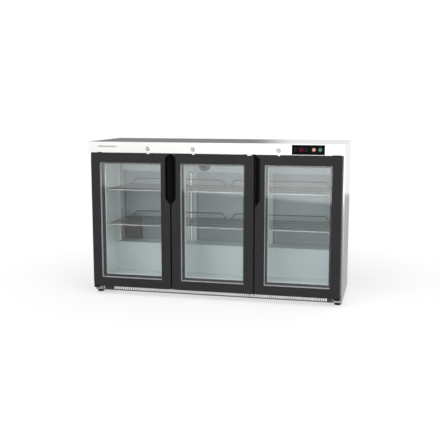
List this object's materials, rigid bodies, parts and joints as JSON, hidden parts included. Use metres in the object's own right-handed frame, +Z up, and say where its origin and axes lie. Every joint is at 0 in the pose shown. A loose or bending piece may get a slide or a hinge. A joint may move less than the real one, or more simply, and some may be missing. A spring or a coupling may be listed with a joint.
{
  "type": "under counter fridge",
  "caption": "Low bar cooler with double-glazed swing doors, stainless top and fascia, wire shelves, key locks, a control panel and a compressor under a rear step.",
  "frame": {"origin": "on the floor, at the centre of the footprint", "axes": "+Z up, front and doors towards -Y, +X to the right seen from the front"},
  "size_m": [1.45, 0.51, 0.89],
  "materials": {
    "top_stainless": "satin brushed",
    "side_stainless": "satin brushed",
    "plinth_stainless": "satin brushed",
    "liner": "satin",
    "door_frame": "satin powder coat",
    "door_glass": "clear double glazing",
    "gasket_rubber": "matt",
    "handle_plastic": "matt",
    "hinge_zinc": "zinc plated",
    "hinge_black": "matt",
    "foot_plastic": "matt",
    "lock_chrome": "polished",
    "shelf_wire": "coated wire",
    "rack_steel": "zinc plated",
    "finned_aluminium": "bare fins",
    "louvre_plastic": "matt",
    "compressor_paint": "gloss black",
    "fan_plastic": "matt",
    "inlet_plastic": "matt",
    "light_diffuser": "opal",
    "panel_black": "gloss",
    "green_lamp": "translucent, lit",
    "orange_lamp": "translucent, lit"
  },
  "bodies": {
    "cabinet": {"worktop": "top_stainless", "ceiling_panel": "liner", "left_side_panel": "side_stainless", "right_side_panel": "side_stainless", "rear_wall_panel": "liner", "floor_panel": "liner", "front_grille": "plinth_stainless", "compressor_tray": "rack_steel", "mullion_left": "liner", "mullion_right": "liner", "rear_upright_left": "liner", "rear_upright_right": "liner", "shelf_rack_left": "rack_steel", "shelf_rack_right": "rack_steel", "shelf_lower_left": "shelf_wire", "shelf_lower_right": "shelf_wire", "shelf_upper_left": "shelf_wire", "shelf_upper_right": "shelf_wire", "evaporator": "finned_aluminium", "evaporator_cover": "liner", "return_air_grille": "louvre_plastic", "compressor": "compressor_paint", "condenser": "finned_aluminium", "rear_service_grille": "rack_steel", "power_inlet": "inlet_plastic", "interior_light": "light_diffuser", "control_plate": "panel_black", "controller": "panel_black", "door_1_top_hinge": "hinge_zinc", "door_1_bottom_hinge": "hinge_black", "lock_barrel_1": "lock_chrome", "door_2_top_hinge": "hinge_zinc", "door_2_bottom_hinge": "hinge_black", "lock_barrel_2": "lock_chrome", "door_3_top_hinge": "hinge_zinc", "door_3_bottom_hinge": "hinge_black", "lock_barrel_3": "lock_chrome", "foot_front_left": "foot_plastic", "foot_front_right": "foot_plastic", "foot_rear_left": "foot_plastic", "foot_rear_right": "foot_plastic"},
    "door_1": {"door_1_frame": "door_frame", "door_1_glass": "door_glass", "door_1_gasket": "gasket_rubber", "door_1_handle": "handle_plastic"},
    "door_2": {"door_2_frame": "door_frame", "door_2_glass": "door_glass", "door_2_gasket": "gasket_rubber", "door_2_handle": "handle_plastic"},
    "door_3": {"door_3_frame": "door_frame", "door_3_glass": "door_glass", "door_3_gasket": "gasket_rubber", "door_3_handle": "handle_plastic"},
    "lock_1": {"lock_plug_1": "lock_chrome"},
    "lock_2": {"lock_plug_2": "lock_chrome"},
    "lock_3": {"lock_plug_3": "lock_chrome"},
    "power_switch": {"power_button": "green_lamp"},
    "light_switch": {"light_button": "orange_lamp"},
    "evaporator_fan": {"evaporator_fan": "fan_plastic"},
    "condenser_fan": {"condenser_fan": "fan_plastic"}
  },
  "joints": [
    {"name": "door_1_swing", "type": "hinge", "parent": "cabinet", "child": "door_1", "pos_m": [-0.6997, -0.236, 0.438], "axis": [0, 0, -1], "range_deg": [0, 100]},
    {"name": "door_2_swing", "type": "hinge", "parent": "cabinet", "child": "door_2", "pos_m": [0.2209, -0.236, 0.438], "axis": [0, 0, 1], "range_deg": [0, 100]},
    {"name": "door_3_swing", "type": "hinge", "parent": "cabinet", "child": "door_3", "pos_m": [0.6997, -0.236, 0.438], "axis": [0, 0, 1], "range_deg": [0, 100]},
    {"name": "lock_1_turn", "type": "hinge", "parent": "cabinet", "child": "lock_1", "pos_m": [-0.3709, -0.255, 0.8535], "axis": [0, -1, 0], "range_deg": [0, 90]},
    {"name": "lock_2_turn", "type": "hinge", "parent": "cabinet", "child": "lock_2", "pos_m": [-0.1079, -0.255, 0.8535], "axis": [0, 1, 0], "range_deg": [0, 90]},
    {"name": "lock_3_turn", "type": "hinge", "parent": "cabinet", "child": "lock_3", "pos_m": [0.3709, -0.255, 0.8535], "axis": [0, 1, 0], "range_deg": [0, 90]},
    {"name": "power_button_press", "type": "slide", "parent": "cabinet", "child": "power_switch", "axis": [0, 1, 0], "range_m": [0, 0.0025], "stiffness_N_per_m": 400},
    {"name": "light_button_press", "type": "slide", "parent": "cabinet", "child": "light_switch", "axis": [0, 1, 0], "range_m": [0, 0.0025], "stiffness_N_per_m": 400},
    {"name": "evaporator_fan_spin", "type": "hinge", "parent": "cabinet", "child": "evaporator_fan", "pos_m": [-0.13, 0.111, 0.744], "axis": [0, 1, 0], "continuous": true},
    {"name": "condenser_fan_spin", "type": "hinge", "parent": "cabinet", "child": "condenser_fan", "pos_m": [0.085, 0.177, 0.1076], "axis": [0, 1, 0], "continuous": true}
  ]
}
